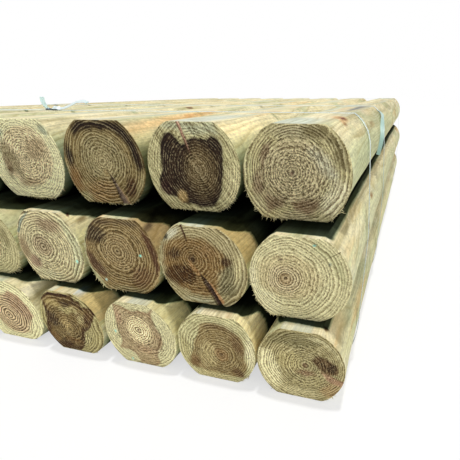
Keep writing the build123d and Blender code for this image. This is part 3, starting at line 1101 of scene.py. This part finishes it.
def strapping(name, deep, pale, clear, rough=0.22, raised=0.7):
    """Plastic strap with its embossed surface and fine drawn streaks, and painted shade that turns
    it darker and greener low down.
    """
    t = Tree(bpy.data.materials.new(name))
    x, y, z = t.parts(t.object_place())
    way = x + z
    emboss = t.math("SINE", (way + y) * 2100) * t.math("SINE", (way - y) * 2100)
    drawn = t.noise(t.vector(x * 6, y * 900, z * 6), 1, 2)
    # painted shade: darker and greener low down
    painted_low_shade = t.curve(z, (0.33, 1.0), (0.44, 0.0))
    colour = t.tint(painted_low_shade * 0.8, t.mix(drawn, deep, pale), (0.28, 0.36, 0.28))
    t.bump(emboss * 0.5 + drawn, 0.0002, raised)
    t.put(t.shader.inputs["Transmission Weight"], clear)
    return t.finish(colour, drawn * (rough * 0.9) + rough, 0.5)


def dark_wire():
    """Phosphated steel wire of the buckle."""
    t = Tree(bpy.data.materials.new("dark_wire"))
    grain = t.noise(t.object_place(), 900, 3)
    t.bump(grain, 0.0001, 0.6)
    t.put(t.shader.inputs["Metallic"], 0.8)
    return t.finish(t.mix(grain, (0.06, 0.08, 0.11), (0.16, 0.20, 0.26)), grain * 0.25 + 0.35, 0.5)


# Camera: the photograph's place, angle and framing
CAMERA_FROM_CORNER = (0.0482, -0.6389, 0.5266)
CAMERA_TURNS = (-16.925, 32.003, -0.323)
PHOTO_SIDE = 460
FOCAL_PIXELS = 357.28
CENTRE_PIXEL = (287.23, 314.36)
SENSOR = 36.0


def make_camera():
    """Camera with the photograph's viewing angle and off-centre framing."""
    yaw, pitch, roll = map(math.radians, CAMERA_TURNS)
    turn = (Matrix.Rotation(-yaw, 4, "Z") @ Matrix.Rotation(math.pi / 2 - pitch, 4, "X")
            @ Matrix.Rotation(roll, 4, "Z"))
    corner = Vector((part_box("sleeper_middle_1")[1][0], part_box("sleeper_top_1")[0][1], 0.0))
    data = bpy.data.cameras.new("camera")
    data.sensor_width = SENSOR
    data.lens = FOCAL_PIXELS / PHOTO_SIDE * SENSOR
    data.shift_x = (PHOTO_SIDE / 2 - CENTRE_PIXEL[0]) / PHOTO_SIDE
    data.shift_y = (CENTRE_PIXEL[1] - PHOTO_SIDE / 2) / PHOTO_SIDE
    data.clip_start = 0.01
    camera = bpy.data.objects.new("camera", data)
    bpy.context.scene.collection.objects.link(camera)
    camera.matrix_world = Matrix.Translation(corner + Vector(CAMERA_FROM_CORNER)) @ turn
    bpy.context.scene.camera = camera


make_camera()

end_material = end_grain()
side_material = long_grain()
strap_material = strapping("strapping", (0.70, 0.88, 0.90), (0.90, 0.97, 0.98), 0.15)
loose_material = strapping(
    "strapping_held_up", (0.68, 0.95, 1.0), (0.80, 0.99, 1.0), 0.88, 0.09, 0.3)
# darker copy of the strap's colours for the hanging end: painted shade
hung_material = strapping("strapping_painted_shade", (0.34, 0.56, 0.50), (0.52, 0.74, 0.66), 0.15)
buckle_material = dark_wire()


def body_stations(log, detailed):
    """Places along a sleeper where its long faces have points: close at the front, then wider."""
    start, end = log.front + COLLAR[-1], log.back - COLLAR[-1]
    if not detailed:
        near = np.arange(start, log.front + 0.14, 0.006)
        return np.concatenate([near, np.linspace(near[-1] + 0.03, end, 40)])
    near = np.concatenate([np.arange(start, log.front + 0.12, 0.006),
                           np.arange(log.front + 0.124, log.front + 0.50, 0.010)])
    return np.concatenate([near, np.linspace(near[-1] + 0.02, end, 64)])


# Points round an end and rings of points in it, and fibres at its rim
SEEN_END, HIDDEN_END, BACK_END = (200, 44), (132, 28), (120, 24)
SEEN_FIBRES, HIDDEN_FIBRES = 110, 40
TOP_SEEN = 4  # columns of the top row whose long faces the photograph shows


def make_sleeper(row, column):
    """One dressed sleeper in place of its solid."""
    log = Sleeper(row, column)
    seen = f"{row}_{column}" in ENDS
    detailed = column == 1 or (row == "top" and column <= TOP_SEEN)
    sheet = Sheet()
    add_end(sheet, log, log.look, True, *(SEEN_END if seen else HIDDEN_END))
    add_body(sheet, log, body_stations(log, detailed))
    add_end(sheet, log, invented_end(log.seed + 6), False, *BACK_END)
    add_fibres(sheet, log, log.look, SEEN_FIBRES if seen else HIDDEN_FIBRES)
    piece = sheet.build(f"wood_{row}_{column}", (end_material, side_material))
    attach(piece, "root")
    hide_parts(log.name)


for row in ROWS:
    for column in range(1, COLUMNS + 1):
        make_sleeper(row, column)


# Straps
STRAP_WIDTH, STRAP_THICKNESS = 0.012, 0.0008
STRAP_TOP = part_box("strap_mid")[1][2]
LOOP_ALLOWANCE = 0.00006


def through(rows, count):
    """Smooth run of values through the given rows."""
    rows = np.array(rows, float)
    padded = np.concatenate([[2 * rows[0] - rows[1]], rows, [2 * rows[-1] - rows[-2]]])
    run = []
    for a, b, c, d in zip(padded, padded[1:], padded[2:], padded[3:]):
        for t in np.linspace(0, 1, count, endpoint=False):
            run.append((2 * b + (c - a) * t + (2 * a - 5 * b + 4 * c - d) * t ** 2
                        + (3 * b - a - 3 * c + d) * t ** 3) / 2)
    return np.array([*run, rows[-1]])


def strap_end(bm, origin, rows):
    """Loose end of a strap: each row has a place on its middle line, in millimetres from the
    origin, and the direction of its width."""
    run = through(rows, 8)
    place, across = origin + run[:, :3] / 1000, run[:, 3:]
    along = np.gradient(place, axis=0)
    along /= np.linalg.norm(along, axis=1)[:, None]
    across = across - (across * along).sum(axis=1)[:, None] * along
    across /= np.linalg.norm(across, axis=1)[:, None]
    up = np.cross(along, across)
    corners = [place + across * a * STRAP_WIDTH / 2 + up * b * STRAP_THICKNESS / 2
               for a, b in ((-1, -1), (1, -1), (1, 1), (-1, 1))]
    made = [[bm.verts.new(point) for point in four] for four in np.stack(corners, axis=1)]
    for here, there in zip(made, made[1:]):
        for k in range(4):
            bm.faces.new((here[k - 1], here[k], there[k], there[k - 1]))
    bm.faces.new(made[0][::-1])
    bm.faces.new(made[-1])


def dressed_strap(name, ends, end_material):
    """A strap's loop as the solid has it, with loose ends that twist as the photograph shows."""
    bm = bmesh.new()
    bm.from_mesh(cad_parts[name].data)
    bmesh.ops.remove_doubles(bm, verts=bm.verts, dist=1e-6)
    ends_of_solid = [v for v in bm.verts if v.co.z > STRAP_TOP + LOOP_ALLOWANCE]
    bmesh.ops.delete(bm, geom=ends_of_solid, context="VERTS")
    bmesh.ops.holes_fill(bm, edges=[e for e in bm.edges if e.is_boundary], sides=0)
    loop_faces = len(bm.faces)
    for origin, rows in ends:
        strap_end(bm, origin, rows)
    bm.faces.ensure_lookup_table()
    for face in bm.faces[loop_faces:]:
        face.material_index = 1
    bmesh.ops.recalc_face_normals(bm, faces=bm.faces)
    mesh = bpy.data.meshes.new(f"{name}_band")
    bm.to_mesh(mesh)
    bm.free()
    mesh.materials.append(strap_material)
    mesh.materials.append(end_material)
    piece = bpy.data.objects.new(f"{name}_band", mesh)
    bpy.context.scene.collection.objects.link(piece)
    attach(piece, "root")
    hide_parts(name)


# Loose ends of the front strap, from the buckle: over its end bars, then up and twisted
HALF_WIRE = 0.002
buckle_low, buckle_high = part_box("wire_buckle")
strap_y = (buckle_low[1] + buckle_high[1]) / 2
left_bar = np.array([buckle_low[0] + HALF_WIRE, strap_y, STRAP_TOP])
right_bar = np.array([buckle_high[0] - HALF_WIRE, strap_y, STRAP_TOP])
LEFT_END = (
    (5.0, 0, -0.2, 0, 1, 0),
    (3.0, 0, 3.0, 0, 1, 0),
    (0.2, 0, 4.9, 0, 1, 0),
    (-3.4, 0, 6.2, 0.1, 1, 0.1),
    (-7.2, 0, 11.0, 0.3, 1, 0.05),
    (-11.0, 0, 22.5, 0.6, 1, 0),
    (-9.2, 0, 33.5, 0.8, 1, 0),
)
RIGHT_END = (
    (-22.0, 0, -0.2, 0, 1, 0),
    (-19.5, -2.0, 3.6, 0, 1, 0.2),
    (-15.0, -6.0, 6.2, 0, 1, 0.65),
    (-7.0, -6.6, 6.6, 0, 1, 0.70),
    (1.0, -6.0, 6.0, 0, 1, 0.60),
    (10.0, -1.5, 4.2, 0, 1, 0.55),
    (32.4, 0, 8.2, -0.1, 1, 0.70),
    (53.1, 0, 14.6, -0.1, 1, 0.75),
    (73.5, 0, 20.5, 0, 1, 0.65),
    (95.7, 0, 22.8, 0, 1, 0.50),
    (109.6, 0, 18.5, 0, 1, 0.40),
)
# Loose end of the middle strap, which peels off the right shoulder and hangs beside the sleeper
HUNG_END = (
    (724.0, -343.0, 468.5, 0, 1, 0.1),
    (733.0, -356.0, 464.0, 0, 1, 0),
    (740.5, -390.0, 460.0, 0.1, 1, 0),
    (746.5, -440.0, 452.1, 0.2, 1, 0),
    (752.0, -495.0, 433.0, 0.95, 0.3, 0),
    (757.0, -525.0, 412.0, 0.95, 0.3, 0),
    (757.2, -545.0, 389.0, 0.95, 0.3, 0),
    (753.5, -560.0, 360.0, 0.95, 0.3, 0),
)
dressed_strap("strap_front", ((left_bar, LEFT_END), (right_bar, RIGHT_END)), loose_material)
dressed_strap("strap_mid", ((np.zeros(3), HUNG_END),), hung_material)

for name, material in (("strap_back", strap_material), ("wire_buckle", buckle_material)):
    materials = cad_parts[name].data.materials
    materials.clear()
    materials.append(material)


# Floor, world and lamps
def seen_by_eye(t):
    """1 for rays that show the backdrop itself: seen, mirrored or through something clear."""
    eye, mirror, clear = t.add(
        "LightPath", {}, "Is Camera Ray", "Is Glossy Ray", "Is Transmission Ray")
    return t.math("MAXIMUM", t.math("MAXIMUM", eye, mirror), clear)


FLOOR_REACH = 14.0
FLOOR_GLOW = 0.62
WORLD_LIGHT = 0.42


def make_floor():
    """Pale floor that keeps the pack's shadow."""
    mesh = bpy.data.meshes.new("floor")
    a = FLOOR_REACH
    mesh.from_pydata([(-a, -a, 0), (a, -a, 0), (a, a, 0), (-a, a, 0)], [], [(0, 1, 2, 3)])
    floor = bpy.data.objects.new("floor", mesh)
    bpy.context.scene.collection.objects.link(floor)
    t = Tree(bpy.data.materials.new("floor"))
    t.bump(t.noise(t.object_place(), 30), 0.0005, 0.3)
    mesh.materials.append(t.finish((0.93, 0.93, 0.93), 0.9))
    plain = Value(t, t.shader.outputs[0])
    seen = t.add("MixShader", {0: seen_by_eye(t) * FLOOR_GLOW, 1: plain, 2: t.add("Emission", {})})
    t.put(t.nodes["Material Output"].inputs[0], seen)


def make_world():
    """Soft white light from all round, and a white backdrop."""
    bpy.context.scene.world = bpy.data.worlds.new("studio")
    t = Tree(bpy.context.scene.world, "Background")
    levels = {"Value": seen_by_eye(t), "To Min": WORLD_LIGHT, "To Max": 1.0}
    t.put(t.shader.inputs["Color"], (1, 1, 1))
    t.put(t.shader.inputs["Strength"], t.add("MapRange", levels))


def add_sun(name, energy, spread, travel):
    """Far lamp whose light travels in the given direction."""
    data = bpy.data.lights.new(name, "SUN")
    data.energy = energy
    data.angle = math.radians(spread)
    lamp = bpy.data.objects.new(name, data)
    lamp.rotation_euler = Vector(travel).to_track_quat("-Z", "Y").to_euler()
    bpy.context.scene.collection.objects.link(lamp)


make_floor()
make_world()
add_sun("key", 1.78, 4.0, (-0.02, -0.132, -0.987))
add_sun("fill", 0.75, 50, (-0.42, 0.66, -0.50))

bpy.context.scene.view_settings.view_transform = "Standard"
